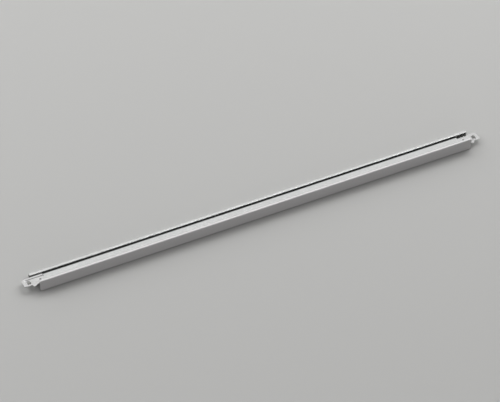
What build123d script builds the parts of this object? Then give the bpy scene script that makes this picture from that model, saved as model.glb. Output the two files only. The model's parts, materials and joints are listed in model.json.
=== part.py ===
from build123d import *
from math import acos, atan2, cos, degrees, hypot, radians, sin, tan
import os

# A short cross tee for a suspended ceiling with 600 mm tiles, lying on its
# side as it comes to rest on a floor: on one edge of its flange and on its
# bulb. X runs along the tee, Z up, and the visible face looks towards -Y.
#
# Four pieces: one roll-formed galvanised strip (bulb, double web and flange),
# a painted steel cap folded round that flange, and a spring-steel clip staked
# to the web at each end.

os.makedirs("parts", exist_ok=True)

# lengths, all set by the 600 mm grid
MODULE = 600.0
FLANGE_WIDTH = 15.0
FLANGE_LENGTH = MODULE - FLANGE_WIDTH      # butts between two 15 mm flanges
BULB_WIDTH = 5.0
BULB_LENGTH = MODULE - BULB_WIDTH          # butts between two 5 mm bulbs
WEB_LENGTH = BULB_LENGTH - 1.0

# section
HEIGHT = 24.5
FLANGE_DEPTH = 3.0
BULB_HEIGHT = 4.5
BULB_RADIUS = 0.7                          # outside of the bulb's corners
SHEET = 0.4
CAP_RADIUS = 0.5                           # outside of the cap's folds
WEB = 2 * SHEET                            # the strip lies double in the web
CAP_TOP = FLANGE_DEPTH                     # top of the cap's folded hems
HEM = 1.2                                  # how far each hem reaches inwards
WING_TOP = CAP_TOP - SHEET                 # the flange lies under the hems
SETBACK = 0.5                              # flange strip ends inside the cap
NEST = 0.1                                 # side gap between strip and cap

# end clip: reach is measured outwards from the flange's end, height from the
# visible underside
CLIP = 0.6
CLIP_INNER, CLIP_TIP = -10.0, 17.2
CLIP_LOW, CLIP_HIGH = 5.0, 18.5
TIP_LOW, TIP_HIGH = 6.1, 16.8              # the tip is narrower
TIP_TAPER = 4.3                            # and narrows over this length
TOOTH_LOW = 2.1
TOOTH_LENGTH = 7.4
STEP = 0.5                                 # the middle is pressed in by this much
PRESS_TIP = 13.5                           # its floor, open at the inner end
PRESS_LOW, PRESS_HIGH = 7.2, 15.35
PRESS_ROUND = 1.4
WINDOW_LENGTH, WINDOW_HEIGHT = 4.6, 6.1    # takes the other clip's lock
WINDOW_REACH, WINDOW_Z = 9.9, 10.95
COIN_LENGTH, COIN_DEPTH = 0.8, 0.3         # inner end, thinned by the punch

# cut-outs in the web at each end
RELIEF_INNER = -10.8
RELIEF_LOW, RELIEF_HIGH = 3.4, 5.4         # clears the flange being butted to
THROAT_LOW, THROAT_HIGH = 14.8, 19.6       # clears the clip's upper rim

# stake that holds the clip to the web
STAKE_REACH, STAKE_Z = -4.8, 10.7
STAKE_R, HEAD_R, HEAD = 1.3, 1.8, 0.35


# How it lies. The floor touches the round of the cap's hem and the round of
# the bulb, so it is their common tangent. Across is measured from the web's
# middle, height from the visible face.
hem_across, hem_height = FLANGE_WIDTH / 2 - CAP_RADIUS, FLANGE_DEPTH - CAP_RADIUS
bulb_across, bulb_height = BULB_WIDTH / 2 - BULB_RADIUS, HEIGHT - BULB_RADIUS
step, run = hem_across - bulb_across, bulb_height - hem_height
lean = acos((BULB_RADIUS - CAP_RADIUS) / hypot(step, run)) - atan2(run, step)
floor_gap = hem_across * cos(lean) + hem_height * sin(lean) + CAP_RADIUS
near_y = -hem_across * sin(lean) + CAP_RADIUS * cos(lean) - CAP_RADIUS
far_y = bulb_across * sin(lean) + bulb_height * cos(lean) + BULB_RADIUS

# The tee's own planes, with their origin in the middle of the visible face.
# FACE is that face seen from inside, SECTION is square to the tee's length,
# and SIDE and FAR_SIDE look at the web from above and from below.
FACE = Plane(origin=(0, -(near_y + far_y) / 2, floor_gap), x_dir=(1, 0, 0),
             z_dir=(0, cos(lean), -sin(lean)))
SECTION = Plane(origin=FACE.origin, x_dir=FACE.y_dir, z_dir=FACE.x_dir)
SIDE = Plane(origin=FACE.origin, x_dir=FACE.x_dir, z_dir=-FACE.y_dir)
FAR_SIDE = Plane(origin=FACE.origin, x_dir=-FACE.x_dir, z_dir=FACE.y_dir)


def end_x(reach):
    """X of a point at this reach beyond the flange, on the tee's -X end."""
    return -(FLANGE_LENGTH / 2 + reach)


# The galvanised strip. The bulb, the web and the flange have three lengths,
# so each is drawn on the section plane and extruded both ways.
with BuildPart() as tee_body:
    with BuildSketch(SECTION):
        with Locations((0, HEIGHT - BULB_HEIGHT / 2)):
            RectangleRounded(BULB_WIDTH, BULB_HEIGHT, BULB_RADIUS)
            RectangleRounded(BULB_WIDTH - 2 * SHEET, BULB_HEIGHT - 2 * SHEET,
                             BULB_RADIUS - SHEET, mode=Mode.SUBTRACT)
    extrude(amount=BULB_LENGTH / 2, both=True)

    # folded flange: its edges turn down and stand on the floor of the cap
    leg_y = FLANGE_WIDTH / 2 - 1.5 * SHEET - NEST
    with BuildSketch(SECTION):
        with BuildLine():
            FilletPolyline((-leg_y, SHEET), (-leg_y, WING_TOP - SHEET / 2),
                           (leg_y, WING_TOP - SHEET / 2), (leg_y, SHEET),
                           radius=0.4)
        trace(line_width=SHEET)
    extrude(amount=FLANGE_LENGTH / 2 - SETBACK, both=True)

    # double web, from inside the flange strip to inside the bulb's floor
    web_low, web_high = WING_TOP - SHEET / 2, HEIGHT - BULB_HEIGHT + SHEET / 2
    with BuildSketch(SECTION):
        with Locations((0, (web_low + web_high) / 2)):
            Rectangle(WEB, web_high - web_low)
    extrude(amount=WEB_LENGTH / 2, both=True)

    # end cut-outs through the web, the same at both ends
    with BuildSketch(SIDE):
        for side in (1, -1):
            # relief above the flange, open at the end
            relief_x = side * (end_x(RELIEF_INNER) + end_x(15)) / 2
            relief_w = 15 - RELIEF_INNER
            with Locations((relief_x, (RELIEF_LOW + RELIEF_HIGH) / 2)):
                Rectangle(relief_w, RELIEF_HIGH - RELIEF_LOW)
            # throat under the bulb, open at the end
            with Locations((relief_x, (THROAT_LOW + THROAT_HIGH) / 2)):
                Rectangle(relief_w, THROAT_HIGH - THROAT_LOW)
            # the foot of the web is trimmed flush with the flange
            foot_x = side * (end_x(-SETBACK) + end_x(15)) / 2
            with Locations((foot_x, (web_low + RELIEF_LOW) / 2)):
                Rectangle(15 + SETBACK, RELIEF_LOW - web_low)
    extrude(amount=WEB, both=True, mode=Mode.SUBTRACT)

    # stakes: web metal pushed through the clip and spread over it, with a
    # punch dimple on both faces
    stake = Location((end_x(STAKE_REACH), STAKE_Z))
    for web_face in (SIDE.offset(WEB / 2), FAR_SIDE.offset(WEB / 2)):
        with BuildSketch(web_face), Locations(stake):
            Circle(STAKE_R)
        extrude(amount=CLIP + HEAD / 2)
        with BuildSketch(web_face.offset(CLIP)), Locations(stake):
            Circle(HEAD_R)
        extrude(amount=HEAD, taper=20)
        with BuildSketch(web_face.offset(CLIP + HEAD)), Locations(stake):
            Circle(0.8)
        extrude(amount=-0.7, taper=15, mode=Mode.SUBTRACT)
        with BuildSketch(web_face.offset(-WEB)), Locations(stake):
            Circle(1.1)
        extrude(amount=0.45, taper=15, mode=Mode.SUBTRACT)
tee_body.part.label = "tee_body"

# The painted cap: one strip folded up both sides of the flange and hemmed
# over its top.
with BuildPart() as face_cap:
    side_y = FLANGE_WIDTH / 2 - SHEET / 2
    with BuildSketch(SECTION):
        with BuildLine():
            FilletPolyline((-FLANGE_WIDTH / 2 + HEM, CAP_TOP - SHEET / 2),
                           (-side_y, CAP_TOP - SHEET / 2),
                           (-side_y, SHEET / 2), (side_y, SHEET / 2),
                           (side_y, CAP_TOP - SHEET / 2),
                           (FLANGE_WIDTH / 2 - HEM, CAP_TOP - SHEET / 2),
                           radius=CAP_RADIUS - SHEET / 2)
        trace(line_width=SHEET)
    extrude(amount=FLANGE_LENGTH / 2, both=True)
face_cap.part.label = "face_cap"

# The end clip on the -X end lies on the web's upper side. It is one even sheet
# with its middle pressed in against the web, so the rims stand off the web. The
# back of the pressing and the hollow in front of it are two tapered forms with
# the sheet between them, and both run out through the clip's inner end.
PRESS_BACK = CLIP * tan(radians(22.5))     # the back's floor is wider by this


def press_corners(grow):
    """The four corners of the pressed floor, grown by this much."""
    inner_x, outer_x = end_x(CLIP_INNER - CLIP_TIP), end_x(PRESS_TIP + grow)
    low, high = PRESS_LOW - grow, PRESS_HIGH + grow
    return (inner_x, low), (outer_x, low), (outer_x, high), (inner_x, high)


with BuildPart() as end_clip_left:
    # flat sheet at the height of the rims, with the tooth at the flange's end
    taper_start = CLIP_TIP - TIP_TAPER
    outline = ((CLIP_INNER, CLIP_LOW), (-0.5, CLIP_LOW),
               (0.6 * TOOTH_LENGTH, TOOTH_LOW), (TOOTH_LENGTH - 0.5, TOOTH_LOW),
               (TOOTH_LENGTH, CLIP_LOW), (taper_start, CLIP_LOW),
               (CLIP_TIP, TIP_LOW), (CLIP_TIP, TIP_HIGH),
               (taper_start, CLIP_HIGH), (CLIP_INNER, CLIP_HIGH))
    with BuildSketch(SIDE.offset(WEB / 2 + STEP)):
        with BuildLine():
            Polyline(*[(end_x(reach), z) for reach, z in outline], close=True)
        make_face()
        fillet(vertices().group_by(Axis.X)[0], radius=0.4)
    extrude(amount=CLIP)

    # back of the pressing, then the hollow in front of it
    with BuildSketch(SIDE.offset(WEB / 2)):
        with BuildLine():
            FilletPolyline(*press_corners(PRESS_BACK), close=True,
                           radius=PRESS_ROUND + PRESS_BACK)
        make_face()
    extrude(amount=STEP, taper=-45)
    with BuildSketch(SIDE.offset(WEB / 2 + CLIP)):
        with BuildLine():
            FilletPolyline(*press_corners(0), radius=PRESS_ROUND, close=True)
        make_face()
    extrude(amount=STEP, taper=-45, mode=Mode.SUBTRACT)
    split(bisect_by=Plane(origin=(end_x(CLIP_INNER), 0, 0), z_dir=(-1, 0, 0)))

    # window for the lock, and the hole for the stake
    with BuildSketch(SIDE.offset(WEB / 2)):
        with Locations((end_x(WINDOW_REACH), WINDOW_Z)):
            RectangleRounded(WINDOW_LENGTH, WINDOW_HEIGHT, 0.3)
        with Locations((end_x(STAKE_REACH), STAKE_Z)):
            Circle(STAKE_R)
    extrude(amount=CLIP, mode=Mode.SUBTRACT)

    # coined inner end, a wedge off the front of the pressed floor
    front_y, coin_x = -(WEB / 2 + CLIP), end_x(CLIP_INNER + COIN_LENGTH)
    with BuildSketch(FACE.offset(PRESS_LOW)):
        with BuildLine():
            Polyline((coin_x, front_y), (end_x(CLIP_INNER), front_y),
                     (end_x(CLIP_INNER), front_y + COIN_DEPTH), close=True)
        make_face()
    extrude(amount=PRESS_HIGH - PRESS_LOW, mode=Mode.SUBTRACT)
end_clip_left.part.label = "end_clip_left"

# The other end has the same clip, turned half round about the line from the
# face to the bulb, so it lies on the web's lower side.
with BuildPart() as end_clip_right:
    add(end_clip_left.part.rotate(Axis(FACE.origin, FACE.z_dir), 180))
end_clip_right.part.label = "end_clip_right"

print("lean %.3f degrees, face at y %.3f z %.3f"
      % (degrees(lean), FACE.origin.Y, FACE.origin.Z))
for name, piece in (("tee_body", tee_body), ("face_cap", face_cap),
                    ("end_clip_left", end_clip_left),
                    ("end_clip_right", end_clip_right)):
    box = piece.part.bounding_box()
    print(name, "solids", len(piece.part.solids()),
          "size %.2f x %.2f x %.2f" % tuple(box.size),
          "volume %.1f mm3" % piece.part.volume)
    export_step(piece.part, f"parts/{name}.step")
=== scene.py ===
# %% [markdown]
# # A ceiling grid tee, lying on its side
# A short cross tee for a suspended ceiling: a strip of galvanised steel with a
# hollow bulb along one edge and a flange along the other, a white painted cap
# folded round the flange, and a spring clip staked to the web at each end.
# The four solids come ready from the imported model, and nothing about their
# shape is decided here. This lesson softens their edges, gives them their
# finishes, and sets a floor, lamps and a camera round them.

# %% Load the solids
import json
import math
import bpy
from mathutils import Matrix, Vector

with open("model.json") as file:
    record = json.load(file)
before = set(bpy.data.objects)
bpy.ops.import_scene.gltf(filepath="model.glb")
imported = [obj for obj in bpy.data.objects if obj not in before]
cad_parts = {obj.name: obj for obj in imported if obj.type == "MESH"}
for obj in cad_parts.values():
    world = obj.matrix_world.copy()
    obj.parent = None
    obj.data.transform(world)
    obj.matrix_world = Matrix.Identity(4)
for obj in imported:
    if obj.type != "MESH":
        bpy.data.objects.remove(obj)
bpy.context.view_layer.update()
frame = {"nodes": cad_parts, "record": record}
print("pieces:", ", ".join(sorted(frame["nodes"])))

# %% [markdown]
# ## The tee's own directions
# On a floor the tee rests on one fold of its flange and on its bulb, so it
# leans by about thirteen degrees. Lines, seams and cut edges follow the tee
# and not the floor, so every later step wants the tee's own directions. They
# could be typed in, but the record already states the visible face as a
# flat mount with a place and a normal, and reading it keeps one source.

# %% Directions from the visible face
face = next(m for m in frame["record"]["mounts"] if m["name"] == "visible_face")
face_middle = Vector(face["pos_m"])
to_bulb = -Vector(face["axis"]).normalized()
along = Vector((1, 0, 0))
upper = along.cross(to_bulb)  # from the web's middle to the side that lies up
lean = math.degrees(math.asin(-to_bulb.z))
print("lean:", round(lean, 2), "degrees")

# %% Sizes that the finishes refer to
# in millimetres: reach is from the tee's middle, height from its visible face,
# and side from the middle of the web
MM = 0.001
FLANGE_REACH, FLANGE_SIDE, FLANGE_HEIGHT = 292.5, 7.5, 3.0
BULB_LOW, BULB_HIGH, BULB_SIDE = 20.0, 24.5, 2.5
STAKE_REACH, STAKE_HEIGHT, STAKE_RADIUS = 287.7, 10.7, 1.8
TIP_REACH = 309.7
print("flange", 2 * FLANGE_REACH, "mm long, clip tips", 2 * TIP_REACH, "mm apart")

# %% [markdown]
# ## Softened edges
# No real sheet metal edge is a mathematical line: a slit edge has a burr
# rolled flat, and a punched one is rounded on the side where the punch went
# in. A thin highlight along each edge is what tells the eye that it looks at
# metal, and a Bevel modifier makes it as geometry. The imported solids have
# split corners, so a Weld comes first. They are also cut into thin triangles,
# which a bevel and smooth shading turn into streaks, so a planar Decimate
# joins every flat face into one. A Weighted Normal at the end keeps the broad
# faces flat in shade and leaves the curve to the narrow bevels.

# %% Weld, bevel and weighted normals
EDGE_WIDTHS = {"tee_body": 0.05, "face_cap": 0.06,
               "end_clip_left": 0.09, "end_clip_right": 0.09}
SAME_POINT = 0.001            # mm between corners that the weld joins
FLAT_ANGLE, EDGE_ANGLE = 0.5, 28   # degrees between faces: one face below, an edge above
FLAT_WEIGHT = 80              # how far large faces outweigh small ones


def soften(piece, width):
    weld = piece.modifiers.new("weld", "WELD")
    weld.merge_threshold = SAME_POINT * MM
    flat = piece.modifiers.new("whole faces", "DECIMATE")
    flat.decimate_type = "DISSOLVE"
    flat.angle_limit = math.radians(FLAT_ANGLE)
    bevel = piece.modifiers.new("soft edges", "BEVEL")
    bevel.width = width * MM
    bevel.segments = 2
    bevel.limit_method = "ANGLE"
    bevel.angle_limit = math.radians(EDGE_ANGLE)
    bevel.miter_outer = "MITER_ARC"
    bevel.use_clamp_overlap = False
    shade = piece.modifiers.new("flat faces", "WEIGHTED_NORMAL")
    shade.keep_sharp = False
    shade.weight = FLAT_WEIGHT


for name, width in EDGE_WIDTHS.items():
    soften(frame["nodes"][name], width)
    print(name, "edges rounded to", width, "mm")

# %% [markdown]
# ## A way to write shader maths
# A finish is a sum of small effects, each one a mask times an amount. Drawn as
# nodes that becomes hard to read, so one small class wraps an output socket
# and lets plain arithmetic add the Math nodes. Its one other method adds any
# node: the type, its settings, then its inputs. Colours and vectors never go
# through Math, because that would turn them grey.

# %% The wire class
class Wire:
    """An output socket that can be reckoned with."""

    def __init__(self, tree, socket=None):
        self.tree, self.socket = tree, socket

    def node(self, kind, settings=None, inputs=None, out=0):
        made = self.tree.nodes.new(kind)
        for key, value in (settings or {}).items():
            setattr(made, key, value)
        for key, value in (inputs or {}).items():
            if isinstance(value, Wire):
                self.tree.links.new(value.socket, made.inputs[key])
            else:
                made.inputs[key].default_value = value
        return Wire(self.tree, made.outputs[out] if made.outputs else None)

    def math(self, operation, *values):
        inputs = dict(enumerate(values))
        return self.node("ShaderNodeMath", {"operation": operation}, inputs)

    def __add__(self, other):
        return self.math("ADD", self, other)

    def __sub__(self, other):
        return self.math("SUBTRACT", self, other)

    def __mul__(self, other):
        return self.math("MULTIPLY", self, other)

    def __truediv__(self, other):
        return self.math("DIVIDE", self, other)

    def __rsub__(self, other):
        return self.math("SUBTRACT", other, self)

    def __abs__(self):
        return self.math("ABSOLUTE", self)

    __radd__, __rmul__ = __add__, __mul__


print("wires can be added, subtracted, multiplied and divided")

# %% [markdown]
# ## Rulers and patterns
# Textures need coordinates that follow the tee. Three dot products turn a
# point into millimetres along the tee, from the visible face, and across the
# web. They come from object coordinates, so the patterns stay on the metal in
# every view.

# %% Coordinates in millimetres
def rulers(wire):
    point = wire.node("ShaderNodeTexCoord", out="Object")
    found = []
    for direction, start in ((along, 0.0), (to_bulb, face_middle.dot(to_bulb)),
                             (upper, face_middle.dot(upper))):
        place = wire.node("ShaderNodeVectorMath", {"operation": "DOT_PRODUCT"},
                          {0: point, 1: direction / MM}, "Value")
        found.append(place - start / MM)
    return found


TURNED = 0.8, 0.95            # a surface counts as facing a direction between these


def facing(wire, direction):
    """1 where the surface looks along a direction, either way, and 0 square to it."""
    normal = wire.node("ShaderNodeNewGeometry", out="True Normal")
    return abs(wire.node("ShaderNodeVectorMath", {"operation": "DOT_PRODUCT"},
                         {0: normal, 1: direction}, "Value"))


def stake_distance(wire, reach, height):
    """Millimetres from the middle of the stake at the nearer end."""
    sideways, upwards = abs(reach) - STAKE_REACH, height - STAKE_HEIGHT
    return wire.math("SQRT", sideways * sideways + upwards * upwards)


def step(wire, low, high):
    """Goes smoothly from 0 to 1 while the wire goes from low to high, up or down."""
    return wire.node("ShaderNodeMapRange", {"interpolation_type": "SMOOTHSTEP"},
                     {0: wire, 1: low, 2: high, 3: 0.0, 4: 1.0})


print("rulers ready")


# %% Patterns
def noise(wire, places, scales, detail=2.0, rough=0.5, seed=0.0):
    """Noise about 0, with a feature size set in millimetres for each direction."""
    scaled = [place / size for place, size in zip(places, scales)]
    at = wire.node("ShaderNodeCombineXYZ",
                   inputs={0: scaled[0] + seed, 1: scaled[1], 2: scaled[2]})
    made = wire.node("ShaderNodeTexNoise", {"noise_dimensions": "3D"},
                     {"Vector": at, "Scale": 1.0, "Detail": detail, "Roughness": rough})
    return made - 0.5


def crystals(wire, places, size, seed=0.0):
    """A random level for each zinc crystal, about 0, with ragged borders."""
    ragged = noise(wire, places, (size / 3,) * 3, 2.0, 0.6, seed + 7)
    scaled = [places[0] / (1.5 * size) + ragged * 0.5 + seed,
              places[1] / size + ragged * 0.4, places[2] / size - ragged * 0.4]
    at = wire.node("ShaderNodeCombineXYZ", inputs=dict(enumerate(scaled)))
    cell = wire.node("ShaderNodeTexVoronoi", {"feature": "F1"},
                     {"Vector": at, "Scale": 1.0, "Randomness": 0.9}, "Color")
    return wire.node("ShaderNodeSeparateColor", inputs={0: cell}) - 0.5


def blend(wire, amount, first, second):
    """Mixes two colours by a wire that holds 0 to 1."""
    inputs = {0: amount}
    for socket, colour in ((6, first), (7, second)):
        inputs[socket] = colour if isinstance(colour, Wire) else (*colour, 1.0)
    return wire.node("ShaderNodeMix", {"data_type": "RGBA", "clamp_factor": True}, inputs, 2)


print("patterns ready")


# %% A new finish
def new_finish(name):
    material = bpy.data.materials.new(name)
    material.use_nodes = True
    material.node_tree.nodes.clear()
    return material, Wire(material.node_tree)


def close_finish(wire, settings, bumps):
    """Adds the surface shader. Bumps are (height, depth in mm) pairs, coarse first."""
    normal = None
    for height, depth in bumps:
        inputs = {"Height": height, "Distance": depth * MM, "Strength": 1.0}
        if normal:
            inputs["Normal"] = normal
        normal = wire.node("ShaderNodeBump", inputs=inputs)
    surface = wire.node("ShaderNodeBsdfPrincipled",
                        inputs={**settings, **({"Normal": normal} if normal else {})})
    wire.node("ShaderNodeOutputMaterial", inputs={"Surface": surface})


def dress(material, *names):
    for name in names:
        for held in frame["nodes"][name].material_slots:
            held.material = material
    print(material.name, "on", ", ".join(names))

# %% [markdown]
# ## Galvanised strip
# Hot-dip zinc freezes in crystals, here about two millimetres wide and
# pressed almost flat by the mill. Roll forming then leaves faint lines along
# the strip and polishes the outside of the folds, handling leaves dull
# patches, and the thin web keeps a slight waviness that shows only in what
# it mirrors. The inside corners by the flange and the bulb are painted
# darker, partly as dust and partly as painted shade. The punch that staked
# each clip left a dimple on both sides, given as dull zinc with painted
# shade for its hollow. Where the strip was cut the steel is bare, and the
# cut ends show the dark seam between the web's two layers. A picture could
# hold all this, but noise and cells in the tee's own millimetres have no
# seams and no repeats.

# %% The zinc
ZINC_DARK, ZINC_LIGHT = (0.61, 0.615, 0.61), (0.73, 0.735, 0.73)
# the dull colour below is dull zinc at the stake dimples, and painted shade for the inside
# corners and for the dimples' hollows
ZINC_DULL_AND_SHADE = (0.24, 0.24, 0.235)
BARE_STEEL, SEAM_DARK = (0.30, 0.29, 0.28), (0.03, 0.03, 0.03)
CRYSTAL, FINE_CRYSTAL = 2.2, 0.8   # mm
BULB_MIDDLE, BULB_HALF = (BULB_LOW + BULB_HIGH) / 2, (BULB_HIGH - BULB_LOW) / 2


def galvanised():
    material, wire = new_finish("galvanised strip")
    places = rulers(wire)
    reach, height, across = places
    spangle = crystals(wire, places, CRYSTAL)
    fine_spangle = crystals(wire, places, FINE_CRYSTAL, 31)
    lines = noise(wire, places, (160, 0.55, 0.55), 4.0, 0.6, 3)
    broad_lines = noise(wire, places, (420, 2.4, 2.4), 2.0, 0.5, 11)
    handling = noise(wire, places, (38, 16, 16), 3.0, 0.55, 19)
    waviness = noise(wire, places, (75, 24, 24), 1.0, 0.4, 23)
    # the rollers polish the outside of each fold; the inside corners by the flange and the bulb
    # are painted darker, partly as dust and partly as painted shade, and the band by the bulb
    # widens the dark line of shade under it
    fold = step(abs(height - BULB_MIDDLE), BULB_HALF - 0.5, BULB_HALF)
    by_flange = step(height, FLANGE_HEIGHT + 1.4, FLANGE_HEIGHT)
    by_bulb = step(height, BULB_LOW - 2.9, BULB_LOW - 1.9)
    corner = (by_flange + by_bulb) * step(abs(across), BULB_SIDE + 0.1, BULB_SIDE - 2.0)
    corner = corner * (0.7 + handling * 1.4)
    # the corner term darkens the tone as painted shade, partly dust
    tone = (0.5 + spangle * 0.28 + fine_spangle * 0.15 + lines * 0.35
            + broad_lines * 0.25 + handling * 0.35 - corner * 0.35)
    zinc = blend(wire, tone, ZINC_DARK, ZINC_LIGHT)
    # the stake dimple: dull zinc from the punch, with painted shade standing in for its hollow
    dimple_dull_and_shade = step(stake_distance(wire, reach, height), STAKE_RADIUS - 0.2, STAKE_RADIUS - 0.8)
    cut = step(facing(wire, along), *TURNED)
    in_web = (step(height, FLANGE_HEIGHT - 1.0, FLANGE_HEIGHT)
              * step(height, BULB_LOW + 0.6, BULB_LOW + 0.2))
    seam = cut * in_web * step(abs(across), 0.07, 0.02)
    shear = noise(wire, places, (8, 0.25, 3), 3.0, 0.6, 41)
    # corners and dimples blend towards the dull colour: painted shade, with dust in the corners
    # and dull zinc in the dimples
    zinc = blend(wire, corner * 0.7 + dimple_dull_and_shade * 0.9, zinc, ZINC_DULL_AND_SHADE)
    colour = blend(wire, cut * (0.8 + shear * 0.5), zinc, BARE_STEEL)
    colour = blend(wire, seam, colour, SEAM_DARK)
    rough = (0.16 + spangle * 0.03 + fine_spangle * 0.02 + lines * 0.05 + handling * 0.05
             - fold * 0.03 + dimple_dull_and_shade * 0.12 + cut * 0.25)
    close_finish(wire, {"Base Color": colour, "Roughness": rough,
                        "Metallic": 1.0 - seam * 0.6},
                 ((waviness, 0.03), (spangle, 0.0004), (lines + broad_lines, 0.0010)))
    return material


dress(galvanised(), "tee_body")

# %% [markdown]
# ## Painted cap
# The cap is a second strip, painted in the coil before it is formed. A satin
# polyester coat has a faint orange peel, far finer than a brushed coat, and
# a slight drift of shade. Forming rubs it a little glossier at the folds,
# and carrying and clipping leave light scuffs. The coil was slit after
# painting, so the edges of the hems and both ends are bare.

# %% The paint
PAINT, PAINT_SHADE = (0.80, 0.79, 0.80), (0.755, 0.745, 0.755)
SCUFF = (0.55, 0.545, 0.54)
CUT_STEEL = (0.60, 0.60, 0.595)


def painted():
    material, wire = new_finish("satin white coat")
    places = rulers(wire)
    reach, height, across = places
    drift = noise(wire, places, (90, 9, 9), 2.0, 0.5, 5)
    peel = noise(wire, places, (0.9, 0.9, 0.9), 2.0, 0.5, 13)
    drawn = noise(wire, places, (120, 0.8, 0.8), 3.0, 0.6, 17)
    rub = noise(wire, places, (7, 0.35, 0.35), 4.0, 0.65, 29)
    fold = step(abs(across), FLANGE_SIDE - 0.6, FLANGE_SIDE - 0.15)
    ends = step(abs(reach), FLANGE_REACH - 6.5, FLANGE_REACH - 0.5)
    scuff = step(rub + fold * 0.05 + ends * 0.06, 0.23, 0.30) * (0.25 + fold * 0.35 + ends * 0.3)
    inwards = step(abs(across), FLANGE_SIDE - 0.9, FLANGE_SIDE - 1.1)
    inner_edge = step(facing(wire, upper), *TURNED) * inwards
    cut = step(facing(wire, along), *TURNED)
    bare = wire.math("MAXIMUM", cut, inner_edge)
    shear = noise(wire, places, (2.5, 0.2, 0.2), 3.0, 0.6, 43)
    coat = blend(wire, 0.35 + drift * 0.9 + drawn * 0.3, PAINT, PAINT_SHADE)
    coat = blend(wire, scuff, coat, SCUFF)
    colour = blend(wire, bare * (0.85 + shear * 0.4), coat, CUT_STEEL)
    rough = 0.44 + drift * 0.08 + drawn * 0.05 - fold * 0.07 + scuff * 0.12 - bare * 0.06
    close_finish(wire, {"Base Color": colour, "Roughness": rough, "Metallic": bare * 0.9,
                        "IOR": 1.48},
                 ((drift, 0.012), (peel, 0.0016), (drawn, 0.0008)))
    return material


dress(painted(), "face_cap")

# %% [markdown]
# ## Spring clips
# A clip is stamped from hard rolled strip, smoother than the zinc beside it,
# with a fine grain along the coil. Its middle is pressed back against the web
# and leaves a stiff rim. On the rim's cut edge the punch makes a bright
# sheared band and then a dull torn one. Staking squeezes a dull ring round
# the hole, and the tip is rubbed where it slides into the next tee. As on the
# strip, masks made from the rulers put each mark in its place.

# %% The spring steel
SPRING_DARK, SPRING_LIGHT = (0.60, 0.60, 0.595), (0.72, 0.72, 0.715)
TORN_TOP, TORN_FOOT = 1.18, 0.90   # mm from the web's middle, along the rim's cut edge


def spring_steel():
    material, wire = new_finish("rolled spring strip")
    places = rulers(wire)
    reach, height, across = places
    grain = noise(wire, places, (14, 0.16, 0.16), 4.0, 0.65, 2)
    bands = noise(wire, places, (60, 1.3, 1.3), 2.0, 0.5, 9)
    smear = noise(wire, places, (6, 4, 4), 3.0, 0.6, 15)
    rub = noise(wire, places, (5, 0.28, 0.28), 4.0, 0.7, 37)
    plate = step(facing(wire, upper), 0.45, 0.8)
    edge = 1.0 - plate
    torn = (edge * step(abs(across), TORN_TOP + 0.06, TORN_TOP - 0.06)
            * step(abs(across), TORN_FOOT - 0.05, TORN_FOOT + 0.05))
    from_stake = stake_distance(wire, reach, height)
    ring = (step(from_stake, STAKE_RADIUS + 1.1, STAKE_RADIUS + 0.6)
            * step(from_stake, STAKE_RADIUS - 0.1, STAKE_RADIUS + 0.1))
    worn = step(abs(reach), TIP_REACH - 5.7, TIP_REACH - 0.7) * step(rub, 0.02, 0.2)
    tone = (0.52 + grain * 0.6 + bands * 0.5 + smear * 0.45 + worn * 0.25
            - torn * 0.6 - ring * 0.3)
    colour = blend(wire, tone, SPRING_DARK, SPRING_LIGHT)
    rough = (0.12 + grain * 0.05 + bands * 0.03 + smear * 0.05 + torn * 0.25
             + ring * 0.08 + worn * 0.05)
    close_finish(wire, {"Base Color": colour, "Roughness": rough,
                        "Metallic": 1.0 - torn * 0.15},
                 ((smear, 0.006), (grain, 0.0012), (torn * rub, 0.02)))
    return material


dress(spring_steel(), "end_clip_left", "end_clip_right")

# %% [markdown]
# ## Floor
# The tee lies on a plain pale floor that keeps its shadow. What the lamps
# throw back up from the floor also lights the visible face, and a pale floor
# would throw too much. Light Path lets the camera and the mirroring metal see
# the pale colour, while the soft bounce comes from a darker one. The lamps
# stand near the tee, so far from it the colour is paler still, and a low view
# meets no dark band at the horizon.

# %% The floor
FLOOR_SEEN, FLOOR_BOUNCE = (0.658, 0.657, 0.645), (0.315, 0.30, 0.285)
FLOOR_FAR = (0.97, 0.97, 0.96)
FLOOR_REACH = 12.0            # metres from the middle to each edge
PALE_FROM, PALE_FULL = 1.0, 3.5    # metres from the middle, where the colour turns pale

sheet = bpy.data.meshes.new("floor")
corners = [(x * FLOOR_REACH, y * FLOOR_REACH, 0)
           for x, y in ((-1, -1), (1, -1), (1, 1), (-1, 1))]
sheet.from_pydata(corners, [], [(0, 1, 2, 3)])
floor = bpy.data.objects.new("floor", sheet)
bpy.context.collection.objects.link(floor)

matte, wire = new_finish("floor")
seen = 0.0
for kind in ("Is Camera Ray", "Is Glossy Ray", "Is Transmission Ray"):
    seen = wire.math("MAXIMUM", wire.node("ShaderNodeLightPath", out=kind), seen)
distance = wire.node("ShaderNodeVectorMath", {"operation": "LENGTH"},
                     {0: wire.node("ShaderNodeTexCoord", out="Object")}, "Value")
pale = blend(wire, step(distance, PALE_FROM, PALE_FULL), FLOOR_SEEN, FLOOR_FAR)
close_finish(wire, {"Base Color": blend(wire, seen, FLOOR_BOUNCE, pale),
                    "Roughness": 1.0, "Specular IOR Level": 0.0}, ())
sheet.materials.append(matte)
print("floor", 2 * FLOOR_REACH, "m wide")

# %% [markdown]
# ## Light
# Bright metal shows its surroundings more than itself. The web lies almost
# level and mirrors what stands behind it, so the world is a bright wide
# screen there. The bulb's side and the corner under it mirror the front at
# some height, so the front is pale only near the horizon and dark above it,
# which leaves the dark line that separates bulb and web. Five soft lamps do
# the rest: a small and a wide one high behind set the short shadow in front,
# one at the left and one at the right fill its ends, and a low one at the
# front lifts the visible face. A single strong lamp would be simpler, but it
# gives the floor a hard shadow and the metal a hot spot.

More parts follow.
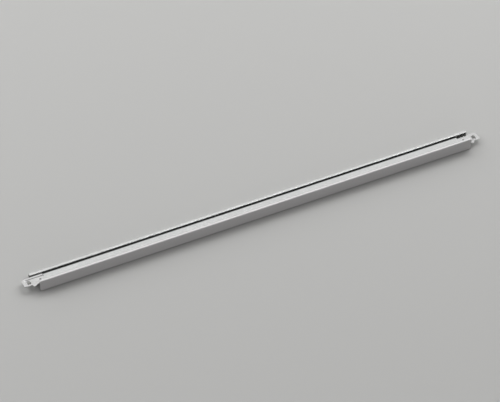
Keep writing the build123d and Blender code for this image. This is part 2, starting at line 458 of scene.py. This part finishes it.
# %% Where the light comes from
BACK_TURN = 30.6              # degrees from +Y towards +X
LAMP_DISTANCE = 2.2           # metres from the tee


def from_angles(turn, rise):
    turn, rise = math.radians(BACK_TURN + turn), math.radians(rise)
    return Vector((math.sin(turn) * math.cos(rise), math.cos(turn) * math.cos(rise),
                   math.sin(rise)))


def soft_lamp(name, turn, rise, size, radiance):
    """A rectangular lamp that looks at the tee. Radiance 1 makes a white card just white."""
    data = bpy.data.lights.new(name, "AREA")
    data.shape = "RECTANGLE"
    data.size, data.size_y = size
    data.energy = radiance * math.pi * size[0] * size[1]
    lamp = bpy.data.objects.new(name, data)
    bpy.context.collection.objects.link(lamp)
    lamp.location = from_angles(turn, rise) * LAMP_DISTANCE
    lamp.rotation_euler = lamp.location.to_track_quat("Z", "Y").to_euler()
    print(name, round(data.energy, 1), "W")


soft_lamp("back", 3, 46, (0.9, 0.5), 4.7)
soft_lamp("wide back", 0, 45, (3.2, 0.45), 1.55)
soft_lamp("left", -85, 30, (1.6, 1.4), 2.1)
soft_lamp("right back", 40, 32, (0.9, 0.7), 3.4)
soft_lamp("front right", 150, 16, (2.0, 0.8), 0.85)

# %% The screen round the tee
SCREEN_BACK, SCREEN_FRONT, SCREEN_LOW, SCREEN_TOP = 0.885, 0.03, 0.38, 0.15
BACK_EDGE = -0.15, 0.45       # from front to back, where the back screen sets in
LOW_EDGE, TOP_EDGE = (0.36, 0.05), (0.75, 0.95)   # sines of the height above the horizon

room = bpy.data.worlds.new("room")
bpy.context.scene.world = room
room.use_nodes = True
room.node_tree.nodes.clear()
wire = Wire(room.node_tree)
looking = wire.node("ShaderNodeTexCoord", out="Generated")
backwards = wire.node("ShaderNodeVectorMath", {"operation": "DOT_PRODUCT"},
                      {0: looking, 1: from_angles(0, 0)}, "Value")
upwards = wire.node("ShaderNodeSeparateXYZ", inputs={0: looking}, out="Z")
behind = step(backwards, *BACK_EDGE)
front = step(upwards, *LOW_EDGE) * SCREEN_LOW + SCREEN_FRONT
level = behind * SCREEN_BACK + (1 - behind) * front
top = step(upwards, *TOP_EDGE)
level = level * (1 - top) + top * SCREEN_TOP
surface = wire.node("ShaderNodeBackground", inputs={"Color": (1, 1, 1, 1), "Strength": level})
wire.node("ShaderNodeOutputWorld", inputs={"Surface": surface})
bpy.context.scene.view_settings.view_transform = "Standard"
print("screen from", SCREEN_FRONT, "to", SCREEN_BACK)

# %% [markdown]
# ## Camera
# The picture was taken from far off with a long lens, so the tee's two long
# edges stay almost parallel. The camera's place was worked out from the
# sizes of the tee and where its corners lie in the picture, in the tee's own
# directions. Here the tee leans, and the view of it has to stay the same, so
# the camera is turned with it. A Track To constraint would be the usual way
# to aim a camera, but it can't hold that tilt, and a matrix can.

# %% The camera
VIEW_TURN, VIEW_DIP = math.radians(26.192), math.radians(41.954)
VIEW_DISTANCE = 3.17682       # metres to the point aimed at
AIM = Vector((0.292309, 0.032764, 0))
FOCUS_PX, PICTURE_PX = 2585.05, 500
NUDGE_PX = 0.65               # moves the tee down in the picture
SENSOR = 36.0                 # mm
NEAREST, FARTHEST = 0.005, 50  # metres that the camera sees between

corner = face_middle - (along * FLANGE_REACH + upper * FLANGE_SIDE) * MM
turned = Matrix((along, to_bulb, upper)).transposed()
ahead = Vector((math.sin(VIEW_TURN) * math.cos(VIEW_DIP),
                math.cos(VIEW_TURN) * math.cos(VIEW_DIP), -math.sin(VIEW_DIP)))
rightwards = turned @ Vector((math.cos(VIEW_TURN), -math.sin(VIEW_TURN), 0))
forwards = turned @ ahead
skywards = rightwards.cross(forwards)
eye = corner + turned @ (AIM - ahead * VIEW_DISTANCE)
eye += skywards * NUDGE_PX * VIEW_DISTANCE / FOCUS_PX

lens = bpy.data.cameras.new("camera")
lens.sensor_width = SENSOR
lens.lens = SENSOR * FOCUS_PX / PICTURE_PX
lens.clip_start, lens.clip_end = NEAREST, FARTHEST
camera = bpy.data.objects.new("camera", lens)
placed = Matrix((rightwards, skywards, -forwards)).transposed().to_4x4()
placed.translation = eye
camera.matrix_world = placed
bpy.context.collection.objects.link(camera)
bpy.context.scene.camera = camera
print("camera", round(math.degrees(math.asin(-forwards.z)), 1), "degrees above the floor,",
      round(lens.lens), "mm lens")
